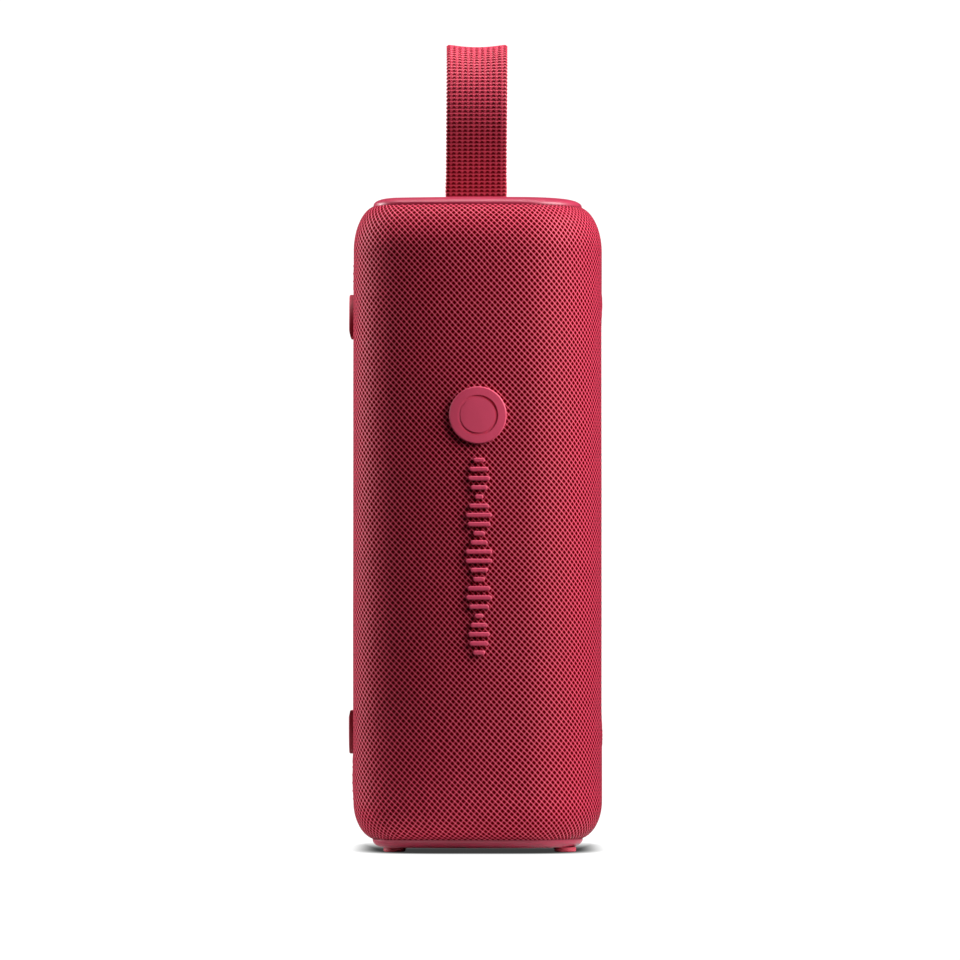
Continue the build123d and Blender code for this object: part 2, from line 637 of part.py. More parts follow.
def make_main_board():
    y = (-MAIN_BOARD_Y, MAIN_BOARD_Y)
    board = box(MAIN_BOARD_X, y, MAIN_BOARD_Z)
    face = MAIN_BOARD_X[1]
    standoffs = []
    screws = []
    for hole_y in (-9, 9):
        for hole_z in (88, 149):
            board -= along_x(1.0, 20, 30, hole_y, hole_z)
            post = along_x(2.2, HOLDER[1], MAIN_BOARD_X[0], hole_y, hole_z)
            standoffs.append(post - along_x(0.8, 20, 30, hole_y, hole_z))
            shank = along_x(0.8, 20.5, face, hole_y, hole_z)
            screws.append(shank + along_x(1.8, face, face + 1.2, hole_y, hole_z))
    save(board, "main_board")
    save(standoffs, "board_standoffs")
    save(screws, "board_screws")
    parts = [box((face, face + 1.2), (-5, 5), (118, 128)), box((face, face + 1.0), (-4, 3), (102, 109))]
    parts += [box((face, face + 3.2), (low, low + 6), (133, 139)) for low in (-9, 1)]
    parts += [along_x(2.5, face, face + 5.5, low, 144) for low in (-3, 3)]
    for low, z in ((-8, 152), (1, 153), (7.5, 153)):
        parts.append(box((face, face + 3.4), (low, low + 4), (z, z + 5)))
    parts += [box((face, face + 3.4), (-4, 0), (86, 91)), box((face, face + 1.6), (5, 11), (95, 105))]
    save(parts, "board_components")


def make_leads():
    route = [(0, 153.15), (1, 160), (13, 165), (25, 164), (27.3, 157.3)]
    battery = [lead([(x, y, z) for x, z in route]) for y in (-7.0, -5.2)]
    save(battery, "battery_lead")
    route = [(6, -18.4, 66.6), (7, -17.4, 73), (17, -10, 78), (26, -3, 78), (27.3, -2, 85.85)]
    save(lead(route), "woofer_lead")
    route = [(1, -19.8, 178), (4, -15, 176), (14, -8, 172), (25, 1, 169), (27.3, 3, 158.15)]
    save(lead(route), "tweeter_lead")
    usb = [(-30.5, 2.2, 115.8), (-28.5, 3.4, 130), (-27.5, 4.6, 144), (-23, 6, 156), (-10, 7, 160)]
    usb += [(5, 8, 162), (18, 9, 167), (26, 9.4, 166), (27.3, 9.5, 158.15)]
    save(lead(usb), "usb_lead")
    save(box((MAIN_BOARD_X[1] + 1.6, BOARD_X[0]), (7.85, 8.15), (96, 104)), "ribbon_cable")
    save(box((-30, -15), (-6, 6), (HOUSING_Z[1], HOUSING_Z[1] + 0.5)), "antenna")


# ---- Badge ----------------------------------------------------------------------------
def rounded_front(piece):
    """A raised piece with the edge of its outer face rounded."""
    middle = -HALF_DEPTH - BADGE_RISE / 2
    front = [edge for edge in piece.edges() if edge.bounding_box().min.Y < middle]
    front = [edge for edge in front if abs((edge % 0.5).Y) < 0.5]
    return fillet(front, BADGE_ROUND)


def make_badge():
    skin = block(-BADGE_RISE, 60, 155) - block(-0.02, 60, 155)
    disc = rounded_front(skin & along_y(BADGE_R, -50, 0, 0, BADGE_Z))
    groove = along_y(6.6, -50, -36.6, 0, BADGE_Z) - along_y(5.7, -50, 0, 0, BADGE_Z)
    save(disc - groove, "badge_disc")
    pitch = (BARS_Z[1] - BARS_Z[0] - BAR_T) / (BAR_COUNT - 1)
    shortest, longest = BAR_LENGTHS
    bars = []
    for i in range(BAR_COUNT):
        swell = 0.55 + 0.45 * sin(pi * (i + 0.5) / BAR_COUNT)
        beat = abs(sin(pi * (i + 0.5) / 4.4)) * swell
        length = shortest + (longest - shortest) * beat
        z = BARS_Z[0] + BAR_T / 2 + i * pitch
        plane = Plane(origin=(BARS_X, -50, z), x_dir=(1, 0, 0), z_dir=(0, 1, 0))
        bars.append(rounded_front(skin & extrude(plane * SlotOverall(length, BAR_T), 30)))
    save(bars, "badge_bars")


make_sleeve()
make_cores()
make_housing()
save(make_top() + make_base(), "cap_screws")
make_strap()
make_controls()
make_base_strip()
make_port()
make_woofer()
make_tweeter()
make_radiators()
make_battery()
make_main_board()
make_leads()
make_badge()
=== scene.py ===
from collections import namedtuple
from math import asin, atan2, cos, exp, hypot, pi, radians, sin, sqrt

import bpy
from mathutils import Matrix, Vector, noise


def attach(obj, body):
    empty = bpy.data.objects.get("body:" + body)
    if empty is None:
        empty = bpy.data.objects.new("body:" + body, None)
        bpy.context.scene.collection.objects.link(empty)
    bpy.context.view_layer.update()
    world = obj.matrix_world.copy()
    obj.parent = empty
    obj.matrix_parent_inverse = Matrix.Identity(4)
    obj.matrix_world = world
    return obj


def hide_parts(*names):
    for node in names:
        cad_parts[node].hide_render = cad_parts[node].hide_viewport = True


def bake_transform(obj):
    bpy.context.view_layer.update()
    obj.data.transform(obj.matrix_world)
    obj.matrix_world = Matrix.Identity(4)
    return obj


MM = 0.001

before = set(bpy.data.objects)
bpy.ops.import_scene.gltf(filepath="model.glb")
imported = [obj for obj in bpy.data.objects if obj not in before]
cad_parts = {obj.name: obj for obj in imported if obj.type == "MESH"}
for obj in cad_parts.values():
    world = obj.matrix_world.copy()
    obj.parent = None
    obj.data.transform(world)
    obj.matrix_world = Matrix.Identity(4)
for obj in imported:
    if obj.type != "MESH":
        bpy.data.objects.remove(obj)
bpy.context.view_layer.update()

# Body form, in millimetres, as in the CAD model.
HALF_WIDTH = 40.9
HALF_DEPTH = 36.0
FACE_R = 130.0
LEFT_R = 17.0
RIGHT_R = 28.0
CREST_X = 3.0
# How each end of the sleeve turns in: how far, over what height, and from what height.
BOTTOM_SOFTEN = (8.4, 12.5, 3.9)
TOP_SOFTEN = (8.4, 15.0, 212.15)
FABRIC_Z = (4.25, 211.7)
FABRIC_T = 1.1
# Windows in the sleeve: side, middle height, overall length, width.
WINDOWS = ((1, 108.9, 144.3, 21.5), (-1, 107.75, 153.2, 22.5))

# The sleeve's pattern and its mesh, in millimetres.
SECTION_CELLS = 138  # diamonds of the net round the body
SLEEVE_ROW = 2.08  # height of one diamond
SLEEVE_COLUMNS = 196
SLEEVE_STEP = 1.24  # height of one row of the mesh
WINDOW_GAP = 0.34  # between the cloth's edge and a window's nominal edge
# The turned edge of the cloth: how far it reaches past the edge, and its depth under the outer face.
TURNED_EDGE = ((0.20, 0.10), (0.27, 0.32), (0.27, 0.80), (0.18, 1.02))

# The carry strap, in millimetres.
STRAP_X = -0.45
STRAP_W = 20.2
STRAP_T = 1.5
STRAP_HINGE_Z = 214.6
LOOP_SIZE = (18.0, 22.4)  # the webbing's middle line: half its depth and half its height
LOOP_CENTRE = (10.0, 243.9)
PIN_Z = 207.5
PIN_R = 1.5
RIB = 1.86  # width of one rib of the webbing
ROW = 1.26  # length of one row of its weft
STRAP_COLUMNS = 54  # points across each face of the webbing


# ---- Material graphs ------------------------------------------------------------------
class Nodes:
    """A node tree, built with short calls that return sockets."""

    def __init__(self, owner):
        owner.use_nodes = True
        self.tree = owner.node_tree
        self.tree.nodes.clear()

    def add(self, kind, **settings):
        node = self.tree.nodes.new(kind)
        for key, value in settings.items():
            setattr(node, key, value)
        return node

    def put(self, socket, value):
        if isinstance(value, bpy.types.NodeSocket):
            self.tree.links.new(value, socket)
        elif socket.type == "RGBA" and len(value) == 3:
            socket.default_value = (*value, 1)
        else:
            socket.default_value = value

    def fill(self, sockets, values):
        for socket, value in zip(sockets, values):
            self.put(socket, value)

    def math(self, operation, *values, clamp=False):
        node = self.add("ShaderNodeMath", operation=operation, use_clamp=clamp)
        self.fill(node.inputs, values)
        return node.outputs[0]

    def vector_math(self, operation, *values):
        node = self.add("ShaderNodeVectorMath", operation=operation)
        self.fill(node.inputs, values)
        return node.outputs["Value" if operation == "LENGTH" else "Vector"]

    def mix(self, factor, a, b):
        """A blend of two colours."""
        node = self.add("ShaderNodeMix", data_type="RGBA")
        self.put(node.inputs["Factor"], factor)
        self.fill([socket for socket in node.inputs if socket.type == "RGBA"], (a, b))
        return [socket for socket in node.outputs if socket.type == "RGBA"][0]

    def mix_values(self, factor, a, b):
        """A blend of two numbers."""
        node = self.add("ShaderNodeMix", data_type="FLOAT")
        self.fill([node.inputs[name] for name in ("Factor", "A", "B")], (factor, a, b))
        return node.outputs["Result"]

    def mix_shaders(self, factor, a, b):
        node = self.add("ShaderNodeMixShader")
        self.fill(node.inputs, (factor, a, b))
        return node.outputs[0]

    def ramp(self, value, low, high, to_low, to_high, easing="LINEAR"):
        node = self.add("ShaderNodeMapRange", interpolation_type=easing)
        names = ("Value", "From Min", "From Max", "To Min", "To Max")
        self.fill([node.inputs[name] for name in names], (value, low, high, to_low, to_high))
        return node.outputs["Result"]

    def smooth(self, value, low, high, to_low=0.0, to_high=1.0):
        return self.ramp(value, low, high, to_low, to_high, "SMOOTHSTEP")

    def noise(self, vector, scale, detail=2.0, roughness=0.5):
        node = self.add("ShaderNodeTexNoise")
        names = ("Vector", "Scale", "Detail", "Roughness")
        self.fill([node.inputs[name] for name in names], (vector, scale, detail, roughness))
        return node.outputs["Fac"]

    def object_coords(self):
        return self.add("ShaderNodeTexCoord").outputs["Object"]

    def pattern_coords(self):
        return self.add("ShaderNodeUVMap", uv_map="cells").outputs["UV"]

    def split(self, vector):
        node = self.add("ShaderNodeSeparateXYZ")
        self.put(node.inputs[0], vector)
        return node.outputs[0], node.outputs[1], node.outputs[2]

    def join(self, x, y, z=0.0):
        node = self.add("ShaderNodeCombineXYZ")
        self.fill(node.inputs, (x, y, z))
        return node.outputs[0]

    def stretch(self, vector, scale, move=(0.0, 0.0, 0.0)):
        node = self.add("ShaderNodeMapping")
        self.fill([node.inputs[name] for name in ("Vector", "Location", "Scale")], (vector, move, scale))
        return node.outputs["Vector"]

    def to_centre(self, phase):
        """0 where a phase is whole, 1 halfway between."""
        wave = self.math("FRACT", self.math("ADD", phase, 0.5))
        return self.math("MULTIPLY", self.math("ABSOLUTE", self.math("SUBTRACT", wave, 0.5)), 2.0)

    def round(self, distance, half):
        """A round thread's height across a distance from its middle."""
        t = self.math("DIVIDE", distance, half)
        t = self.math("SUBTRACT", 1.0, self.math("MULTIPLY", t, t), clamp=True)
        return self.math("SQRT", t)

    def sine(self, phase, amplitude=0.5, middle=0.5):
        wave = self.math("SINE", self.math("MULTIPLY", phase, 2 * pi))
        return self.math("MULTIPLY_ADD", wave, amplitude, middle)

    def bump(self, height, distance):
        node = self.add("ShaderNodeBump")
        self.put(node.inputs["Height"], height)
        node.inputs["Distance"].default_value = distance
        node.inputs["Strength"].default_value = 1.0
        return node.outputs["Normal"]


class Graph(Nodes):
    """A material's nodes round one Principled shader."""

    def __init__(self, name, **shader):
        self.material = bpy.data.materials.new(name)
        super().__init__(self.material)
        self.shader = self.add("ShaderNodeBsdfPrincipled")
        output = self.add("ShaderNodeOutputMaterial")
        self.put(output.inputs["Surface"], self.shader.outputs[0])
        for socket, value in shader.items():
            self.set(socket.replace("_", " "), value)

    def set(self, name, value):
        self.put(self.shader.inputs[name], value)


def seam_distance(g, u):
    """Signed distance from the seam, in cells, on either side of it."""
    return g.math("WRAP", u, SECTION_CELLS / 2, -SECTION_CELLS / 2)


def sleeve_material():
    """An open net of slanting yarns over a darker cloth behind it, with painted shade in its holes and where
    yarns dip under, and painted highlights on the yarns.
    """
    g = Graph("sleeve_net", IOR=1.5, Specular_IOR_Level=0.06, Coat_Roughness=0.42)
    uv = g.pattern_coords()
    u, v, _ = g.split(uv)
    # seam where the cloth's two edges butt together, at the section's start
    seam = g.smooth(g.math("ABSOLUTE", seam_distance(g, u)), 0.05, 0.22)
    # the rows drift and lean a little, more so near the base
    lean = g.math("MULTIPLY", v, g.math("MULTIPLY_ADD", v, -0.0006, 0.165))
    slow = g.noise(uv, 0.09, 2.0)
    slow_too = g.noise(g.join(v, u), 0.11, 2.0)
    u = g.math("ADD", g.math("MULTIPLY_ADD", slow, 0.5, u), lean)
    v = g.math("MULTIPLY_ADD", slow_too, 0.5, v)
    falling = g.math("ADD", u, v)
    rising = g.math("SUBTRACT", u, v)
    falling_d = g.to_centre(falling)
    rising_d = g.to_centre(rising)
    top_yarn = g.round(falling_d, 0.42)
    low_yarn = g.round(rising_d, 0.40)
    # the falling yarns lie on top and the rising ones dip under them
    top_h = g.math("MULTIPLY", top_yarn, g.smooth(rising_d, 0.0, 1.0, 1.0, 0.78))
    low_h = g.math("MULTIPLY", low_yarn, g.smooth(falling_d, 0.1, 0.9, 0.55, 0.80))
    height = g.math("MAXIMUM", top_h, low_h)
    on_top = g.smooth(g.math("SUBTRACT", top_h, low_h), -0.05, 0.05)
    # the fibres' twist along each yarn
    twist_top = g.sine(g.math("MULTIPLY_ADD", rising, 3.0, g.math("MULTIPLY", falling, 1.6)))
    twist_low = g.sine(g.math("MULTIPLY_ADD", falling, 3.0, g.math("MULTIPLY", rising, -1.6)))
    twist = g.mix_values(on_top, twist_low, twist_top)
    fuzz = g.noise(uv, 9.0, 3.0, 0.65)
    yarn = g.smooth(g.math("MINIMUM", falling_d, rising_d), 0.40, 0.22)
    height = g.math("MULTIPLY_ADD", g.math("MULTIPLY", twist, yarn), 0.09, height)
    height = g.math("MULTIPLY_ADD", fuzz, 0.06, height)
    height = g.math("MULTIPLY", height, seam)
    patch = g.noise(uv, 0.05, 3.0)
    cloth = g.mix(patch, (0.57, 0.026, 0.072), (0.64, 0.032, 0.086))
    # painted sheen: the yarns lighter pink on the raised stripes of their twist
    cloth = g.mix(g.math("MULTIPLY", twist, 0.30), cloth, (0.74, 0.08, 0.145))
    # painted shade: the rising yarns darkened where they dip under the falling ones
    painted_dip_shade = g.math("MULTIPLY", g.math("SUBTRACT", 1.0, on_top), g.smooth(falling_d, 0.80, 0.40, 0.35, 0.85))
    cloth = g.mix(painted_dip_shade, cloth, (0.36, 0.007, 0.024))
    # painted highlight: a lighter pink spot where the yarns cross
    painted_knot_highlight = g.math("MULTIPLY", g.smooth(falling_d, 0.45, 0.0), g.smooth(rising_d, 0.6, 0.0))
    cloth = g.mix(g.math("MULTIPLY", painted_knot_highlight, 0.5), cloth, (0.88, 0.22, 0.32))
    # the darker cloth behind the net, which also serves as the painted shade in its holes
    backing_and_hole_shade = g.mix(fuzz, (0.058, 0.0, 0.001), (0.105, 0.0, 0.002))
    g.set("Base Color", g.mix(yarn, backing_and_hole_shade, cloth))
    g.set("Roughness", g.ramp(yarn, 0.0, 1.0, 1.0, 0.5))
    g.set("Coat Weight", g.smooth(height, 0.55, 0.98, 0.0, 0.5))
    g.set("Normal", g.bump(height, 0.00040))
    g.set("Coat Normal", g.bump(height, 0.00018))
    return g.material


def webbing_material():
    """Tight ribbed webbing: rows of weft pulled into small arches between the ribs, with painted shade in the
    pits and creases and painted highlights on the ribs and slanting fibres.
    """
    g = Graph("strap_webbing", IOR=1.5, Specular_IOR_Level=0.1, Coat_Roughness=0.42)
    uv = g.pattern_coords()
    u, v, _ = g.split(uv)
    rib_d = g.to_centre(u)
    arch = g.math("MULTIPLY_ADD", g.math("COSINE", g.math("MULTIPLY", u, 2 * pi)), -0.13, v)
    row_d = g.to_centre(arch)
    reach = g.math("ADD", g.math("MULTIPLY", row_d, row_d), g.math("MULTIPLY", rib_d, rib_d))
    pit = g.smooth(reach, 0.72, 0.16, 0.0, 0.85)
    crease = g.smooth(row_d, 0.50, 0.10, 0.0, 0.72)
    crease = g.math("MULTIPLY", crease, g.smooth(rib_d, 0.5, 1.0, 1.0, 0.6))
    pit_depth_and_shade = g.math("MAXIMUM", pit, crease)
    fine = g.sine(g.math("MULTIPLY", u, 7.0))
    slant = g.sine(g.math("MULTIPLY_ADD", v, 3.0, g.math("MULTIPLY", u, 4.0)))
    fuzz = g.noise(uv, 7.0, 3.0, 0.6)
    height = g.math("SUBTRACT", 1.0, pit_depth_and_shade)
    height = g.math("MULTIPLY_ADD", fine, 0.05, height)
    height = g.math("MULTIPLY_ADD", slant, 0.09, height)
    height = g.math("MULTIPLY_ADD", fuzz, 0.06, height)
    patch = g.noise(uv, 0.35, 3.0)
    yarn = g.mix(patch, (0.45, 0.015, 0.042), (0.53, 0.020, 0.054))
    # painted highlights: lighter pink along the raised slanting fibres and on the ribs' crowns
    yarn = g.mix(g.math("MULTIPLY", slant, 0.35), yarn, (0.66, 0.10, 0.16))
    yarn = g.mix(g.smooth(rib_d, 0.6, 1.0, 0.0, 0.35), yarn, (0.72, 0.09, 0.15))
    # painted shade: the pits and creases between the rows darkened almost to black
    g.set("Base Color", g.mix(pit_depth_and_shade, yarn, (0.07, 0.0, 0.002)))
    g.set("Roughness", g.ramp(pit_depth_and_shade, 0.0, 1.0, 0.52, 0.85))
    g.set("Coat Weight", g.smooth(row_d, 0.45, 0.85, 0.0, 0.7))
    surface = g.bump(height, 0.00022)
    g.set("Normal", surface)
    g.set("Coat Normal", surface)
    return g.material


def thread_material():
    """Sewing thread: two plies twisted together."""
    g = Graph("sewing_thread", Sheen_Weight=0.2)
    uv = g.pattern_coords()
    u, v, _ = g.split(uv)
    ply = g.sine(g.math("MULTIPLY_ADD", u, 6.0, v))
    g.set("Base Color", g.mix(ply, (0.36, 0.020, 0.040), (0.62, 0.06, 0.10)))
    g.set("Roughness", g.ramp(ply, 0.0, 1.0, 0.7, 0.5))
    g.set("Normal", g.bump(ply, 0.00008))
    return g.material


FINE_GRAIN = 2600.0
ICON_X = (0.04073, 0.04079)  # metres: the button's face and a little above it
CELL_MIDDLE_Z = 0.117


def moulded(name, low, high, grain, grain_scale, roughness):
    """Moulded plastic or rubber: a fine spark-eroded grain over slow changes of shade."""
    g = Graph(name)
    at = g.object_coords()
    slow = g.noise(at, 45.0, 3.0)
    fine = g.noise(at, grain_scale, 2.0, 0.6)
    flow = g.noise(g.stretch(at, (1.0, 1.0, 0.35)), 260.0, 2.0)
    shade = g.math("MULTIPLY_ADD", flow, 0.35, g.math("MULTIPLY", slow, 0.65))
    g.set("Base Color", g.mix(g.smooth(shade, 0.3, 0.7), low, high))
    wear = g.math("MULTIPLY_ADD", fine, 0.5, g.math("MULTIPLY", slow, 0.5))
    g.set("Roughness", g.ramp(wear, 0.3, 0.7, *roughness))
    g.set("Normal", g.bump(fine, grain))
    return g


def button_material():
    """Soft red rubber with the raised icon a lighter red."""
    g = moulded("button_rubber", (0.42, 0.034, 0.062), (0.47, 0.040, 0.072), 0.00002, FINE_GRAIN, (0.45, 0.6))
    x, _, _ = g.split(g.object_coords())
    raised = g.smooth(x, *ICON_X)
    body = g.shader.inputs["Base Color"].links[0].from_socket
    g.set("Base Color", g.mix(raised, body, (0.80, 0.36, 0.40)))
    return g.material


def brushed(name, low, high, roughness):
    """Metal with fine drawn lines."""
    g = Graph(name, Metallic=1.0)
    at = g.object_coords()
    lines = g.noise(g.stretch(at, (900.0, 900.0, 60.0)), 1.0, 3.0, 0.6)
    spots = g.noise(at, 120.0, 3.0)
    g.set("Base Color", g.mix(g.math("MULTIPLY_ADD", lines, 0.5, g.math("MULTIPLY", spots, 0.5)), low, high))
    g.set("Roughness", g.ramp(lines, 0.3, 0.7, *roughness))
    g.set("Normal", g.bump(lines, 0.00001))
    return g.material


def board_material():
    """Green laminate with buried copper tracks and small plated spots."""
    g = Graph("circuit_board", Coat_Weight=0.4, Coat_Roughness=0.25)
    at = g.object_coords()
    _, y, z = g.split(at)
    weave = g.math("MULTIPLY", g.sine(g.math("MULTIPLY", y, 2400.0)), g.sine(g.math("MULTIPLY", z, 2400.0)))
    bend = g.noise(at, 160.0, 2.0)
    track = g.to_centre(g.math("MULTIPLY_ADD", bend, 5.0, g.math("MULTIPLY", y, 420.0)))
    track = g.smooth(track, 0.34, 0.22)
    spots = g.add("ShaderNodeTexVoronoi")
    g.put(spots.inputs["Vector"], at)
    spots.inputs["Scale"].default_value = 340.0
    pad = g.smooth(spots.outputs["Distance"], 0.16, 0.12)
    base = g.mix(weave, (0.008, 0.070, 0.028), (0.012, 0.095, 0.038))
    base = g.mix(track, base, (0.016, 0.14, 0.055))
    g.set("Base Color", g.mix(pad, base, (0.72, 0.58, 0.30)))
    g.set("Roughness", g.ramp(pad, 0.0, 1.0, 0.5, 0.3))
    g.set("Normal", g.bump(g.math("ADD", track, pad), 0.00004))
    return g.material


def fibre_material(name, low, high):
    """Pressed paper pulp: short crossing fibres."""
    g = Graph(name)
    at = g.object_coords()
    one = g.noise(g.stretch(at, (1500.0, 1500.0, 300.0)), 1.0, 2.0)
    two = g.noise(g.stretch(at, (300.0, 1500.0, 1500.0)), 1.0, 2.0)
    pulp = g.math("MULTIPLY_ADD", one, 0.5, g.math("MULTIPLY", two, 0.5))
    g.set("Base Color", g.mix(g.smooth(pulp, 0.35, 0.65), low, high))
    g.set("Roughness", g.ramp(pulp, 0.3, 0.7, 0.7, 0.9))
    g.set("Normal", g.bump(pulp, 0.00008))
    return g.material


def wrap_material():
    """Shrink wrap on the cells, with a printed band at each end and faint wrinkles."""
    g = Graph("cell_wrap", Coat_Weight=0.5, Coat_Roughness=0.12)
    at = g.object_coords()
    _, _, z = g.split(at)
    wrinkle = g.noise(g.stretch(at, (90.0, 90.0, 500.0)), 1.0, 3.0)
    from_middle = g.math("ABSOLUTE", g.math("SUBTRACT", z, CELL_MIDDLE_Z))
    band = g.smooth(from_middle, 0.0270, 0.0272)
    blue = g.mix(wrinkle, (0.010, 0.10, 0.22), (0.014, 0.13, 0.28))
    g.set("Base Color", g.mix(band, blue, (0.55, 0.56, 0.58)))
    g.set("Roughness", g.ramp(wrinkle, 0.3, 0.7, 0.28, 0.4))
    g.set("Normal", g.bump(wrinkle, 0.0001))
    return g.material


def insulation_material():
    """Wire and ribbon insulation: each lead takes its own colour from where it runs."""
    g = Graph("lead_insulation", Specular_IOR_Level=0.5)
    at = g.object_coords()
    fine = g.noise(at, 900.0, 2.0)
    which = g.noise(g.stretch(at, (0.0, 420.0, 0.0)), 1.0, 0.0)
    red = g.mix(fine, (0.30, 0.012, 0.012), (0.38, 0.018, 0.016))
    g.set("Base Color", g.mix(g.smooth(which, 0.48, 0.52), red, (0.03, 0.03, 0.032)))
    g.set("Roughness", g.ramp(fine, 0.3, 0.7, 0.4, 0.55))
    g.set("Normal", g.bump(fine, 0.00002))
    return g.material


def light_material():
    """Milky light pipe, unlit."""
    g = moulded("light_pipe", (0.78, 0.74, 0.72), (0.86, 0.82, 0.80), 0.000006, FINE_GRAIN, (0.22, 0.32))
    g.set("Subsurface Weight", 0.35)
    g.set("Subsurface Scale", 0.0008)
    g.set("Subsurface Radius", (1.0, 0.8, 0.7))
    return g.material


RED_LOW = (0.29, 0.016, 0.046)
RED_HIGH = (0.34, 0.021, 0.056)
# Moulded materials: two shades, the grain's depth in metres, its scale, and the range of roughness.
MOULDED = {
    "cap_plastic": (RED_LOW, RED_HIGH, 0.00002, FINE_GRAIN, (0.34, 0.44)),
    "inlay_plastic": ((0.30, 0.016, 0.038), (0.36, 0.021, 0.048), 0.00005, FINE_GRAIN, (0.38, 0.5)),
    "badge_rubber": ((0.66, 0.060, 0.130), (0.74, 0.068, 0.148), 0.00002, 3200.0, (0.42, 0.55)),
    "foot_rubber": ((0.34, 0.022, 0.046), (0.40, 0.028, 0.056), 0.00005, 1800.0, (0.55, 0.7)),
    "strip_rubber": ((0.36, 0.026, 0.050), (0.42, 0.032, 0.060), 0.00003, 2400.0, (0.48, 0.62)),
    "dark_plastic": ((0.014, 0.013, 0.014), (0.024, 0.022, 0.023), 0.00006, 1500.0, (0.5, 0.7)),
    "seal_rubber": ((0.010, 0.010, 0.011), (0.018, 0.018, 0.019), 0.00004, 1200.0, (0.6, 0.8)),
    "component_plastic": ((0.022, 0.022, 0.024), (0.05, 0.05, 0.052), 0.00002, FINE_GRAIN, (0.35, 0.5)),
}
# Metals: two shades and the range of roughness.
BRUSHED = {
    "steel": ((0.42, 0.42, 0.43), (0.62, 0.62, 0.63), (0.26, 0.42)),
    "magnet_steel": ((0.20, 0.20, 0.21), (0.34, 0.34, 0.35), (0.35, 0.5)),
    "brass": ((0.66, 0.46, 0.20), (0.80, 0.60, 0.30), (0.25, 0.38)),
}
materials = {
    "sleeve_fabric": sleeve_material(),
    "strap_webbing": webbing_material(),
    "sewing_thread": thread_material(),
    "button_rubber": button_material(),
    "light_pipe": light_material(),
    "circuit_board": board_material(),
    "cone_paper": fibre_material("cone_paper", (0.020, 0.019, 0.019), (0.050, 0.047, 0.045)),
    "cell_wrap": wrap_material(),
    "lead_insulation": insulation_material(),
}
for name, look in MOULDED.items():
    materials[name] = moulded(name, *look).material
for name, look in BRUSHED.items():
    materials[name] = brushed(name, *look)

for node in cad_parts.values():
    for place, old in enumerate(node.data.materials):
        node.data.materials[place] = materials[old.name.split(".")[0]]


# ---- Meshes ---------------------------------------------------------------------------
def past_seam(values, period):
    """One face's values of a closed pattern, those past its seam moved on by a period."""
    if period is None:
        return values
    high = max(values)
    return [value + period if high - value > period / 2 else value for value in values]


def mesh_piece(name, slot_name, points, faces, cells, periods=(None, None)):
    """A smooth mesh from points in millimetres, with its pattern map. A period closes the map on itself."""
    mesh = bpy.data.meshes.new(name)
    mesh.from_pydata([(x * MM, y * MM, z * MM) for x, y, z in points], [], faces)
    layer = mesh.uv_layers.new(name="cells")
    for face in mesh.polygons:
        face.use_smooth = True
        corners = [cells[mesh.loops[i].vertex_index] for i in face.loop_indices]
        across, along = zip(*corners)
        across = past_seam(across, periods[0])
        along = past_seam(along, periods[1])
        for i, uv in zip(face.loop_indices, zip(across, along)):
            layer.data[i].uv = uv
    mesh.materials.append(materials[slot_name])
    mesh.validate()
    piece = bpy.data.objects.new(name, mesh)
    bpy.context.scene.collection.objects.link(piece)
    return piece


def bell(distance, half):
    return exp(-((distance / half) ** 2))


# ---- Sleeve ---------------------------------------------------------------------------
def section_segments():
    """The body's section from the middle of its left side, round by the front."""
    corner = {}
    for side, r in ((1, RIGHT_R), (-1, LEFT_R)):
        centre_x = side * (HALF_WIDTH - r)
        lean = (centre_x - CREST_X) / (FACE_R - r)
        flat_y = (HALF_DEPTH - FACE_R) + (FACE_R - r) * sqrt(1 - lean * lean)
        corner[side] = (centre_x, flat_y, r, atan2(-sqrt(1 - lean * lean), lean))
    left_x, left_y, left_r, left_a = corner[-1]
    right_x, right_y, right_r, right_a = corner[1]
    face_y = FACE_R - HALF_DEPTH
    return [
        ("line", (-HALF_WIDTH, 0), (-HALF_WIDTH, -left_y), (-1, 0)),
        ("arc", (left_x, -left_y), left_r, -pi, left_a),
        ("arc", (CREST_X, face_y), FACE_R, left_a, right_a),
        ("arc", (right_x, -right_y), right_r, right_a, 0),
        ("line", (HALF_WIDTH, -right_y), (HALF_WIDTH, right_y), (1, 0)),
        ("arc", (right_x, right_y), right_r, 0, -right_a),
        ("arc", (CREST_X, -face_y), FACE_R, -right_a, -left_a),
        ("arc", (left_x, left_y), left_r, -left_a, pi),
        ("line", (-HALF_WIDTH, left_y), (-HALF_WIDTH, 0), (-1, 0)),
    ]


SEGMENTS = []
for segment in section_segments():
    if segment[0] == "line":
        length = hypot(segment[2][0] - segment[1][0], segment[2][1] - segment[1][1])
    else:
        length = segment[2] * (segment[4] - segment[3])
    SEGMENTS.append((length, segment))
ROUND = sum(length for length, _ in SEGMENTS)


def section_at(d):
    """The section's point and outward normal at a distance round it."""
    d %= ROUND
    for length, segment in SEGMENTS:
        if d <= length:
            break
        d -= length
    t = min(d / length, 1)
    if segment[0] == "line":
        _, a, b, normal = segment
        return a[0] + (b[0] - a[0]) * t, a[1] + (b[1] - a[1]) * t, normal[0], normal[1]
    _, centre, r, start, end = segment
    angle = start + (end - start) * t
    return centre[0] + r * cos(angle), centre[1] + r * sin(angle), cos(angle), sin(angle)


def turn_in(rise, depth, height):
    """A quarter round's inset at a rise above its start."""
    t = min(max(rise / height, 0), 1)
    return depth * (1 - sqrt(1 - (1 - t) ** 2))


def soften(z):
    """How far the sleeve's side is turned in at a height."""
    low_depth, low_height, start = BOTTOM_SOFTEN
    top_depth, top_height, end = TOP_SOFTEN
    return turn_in(z - start, low_depth, low_height) + turn_in(end - z, top_depth, top_height)


Rung = namedtuple("Rung", "inset z out up distance")


